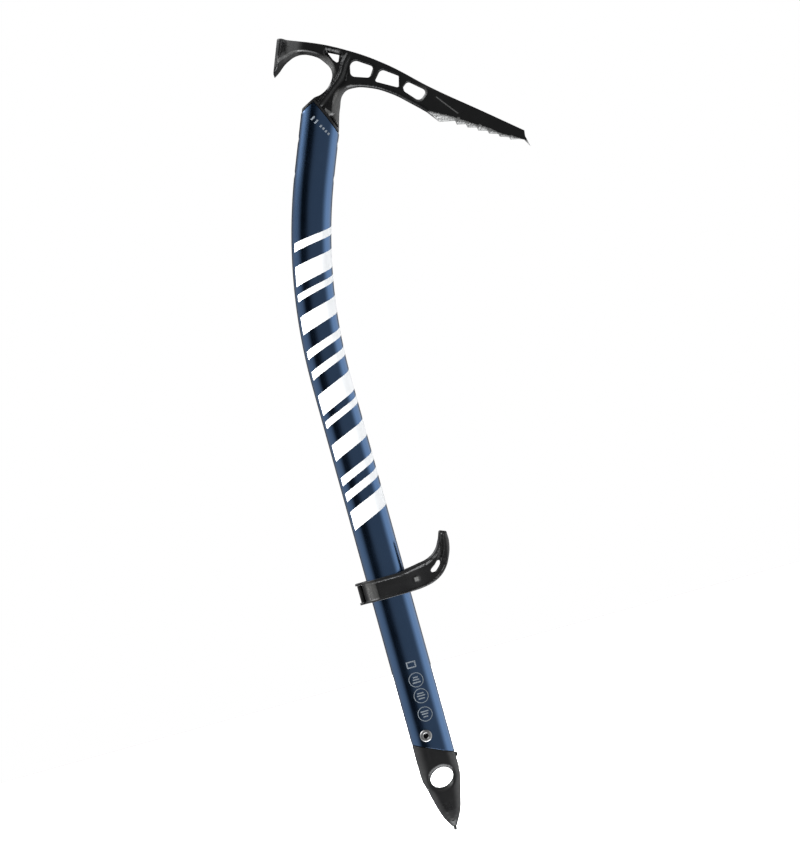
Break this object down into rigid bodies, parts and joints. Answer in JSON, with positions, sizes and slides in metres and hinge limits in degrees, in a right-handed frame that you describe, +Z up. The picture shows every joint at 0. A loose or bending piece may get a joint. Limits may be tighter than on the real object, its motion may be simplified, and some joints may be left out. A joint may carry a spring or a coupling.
{
  "type": "ice axe",
  "caption": "Mountaineering ice axe with a curved tubular shaft, adze and toothed pick head, sliding hand rest with a cam lever, and a pointed ferrule.",
  "frame": {"origin": "the point of the spike at the lower end of the axe", "axes": "+Z up along the straight lower shaft, +X towards the pick, Y across the axe with its plane of symmetry at Y = 0"},
  "size_m": [0.2131, 0.05, 0.5977],
  "materials": {
    "black_steel": "satin black coating on forged steel, ground bare on the teeth",
    "blue_anodised": "navy blue anodised, satin",
    "bright_steel": "bright turned steel",
    "ferrule_black": "matte black coating on cast steel",
    "black_nylon": "moulded glass-filled nylon",
    "black_rubber": "matte"
  },
  "bodies": {
    "axe": {"head_forging": "black_steel", "tang_shim_near": "black_nylon", "tang_shim_far": "black_nylon", "head_pin_upper": "bright_steel", "head_pin_lower": "bright_steel", "shaft_tube": "blue_anodised", "ferrule": "ferrule_black", "ferrule_rivet": "bright_steel", "ferrule_rivet_washer": "bright_steel", "spike_tip": "bright_steel", "spike_tip_pin": "bright_steel"},
    "hand_rest": {"hand_rest_body": "black_nylon", "hand_rest_liner": "black_rubber", "lever_pin": "bright_steel"},
    "lock_lever": {"lock_lever": "black_nylon"},
    "brake_shoe": {"brake_shoe": "bright_steel", "brake_pad": "black_rubber"}
  },
  "joints": [
    {"name": "hand_rest_slide", "type": "slide", "parent": "axe", "child": "hand_rest", "axis": [0, 0, 1], "range_m": [-0.095, 0.145]},
    {"name": "lever_hinge", "type": "hinge", "parent": "hand_rest", "child": "lock_lever", "pos_m": [-0.0208, -0.004, 0.1871], "axis": [0, 0, 1], "range_deg": [0, 100]},
    {"name": "shoe_slide", "type": "slide", "parent": "hand_rest", "child": "brake_shoe", "axis": [-1, 0, 0], "range_m": [0, 0.0005]}
  ],
  "couplings": [
    {"joint": "lever_hinge", "follows": "shoe_slide", "rad_per_m": 3490.7}
  ]
}
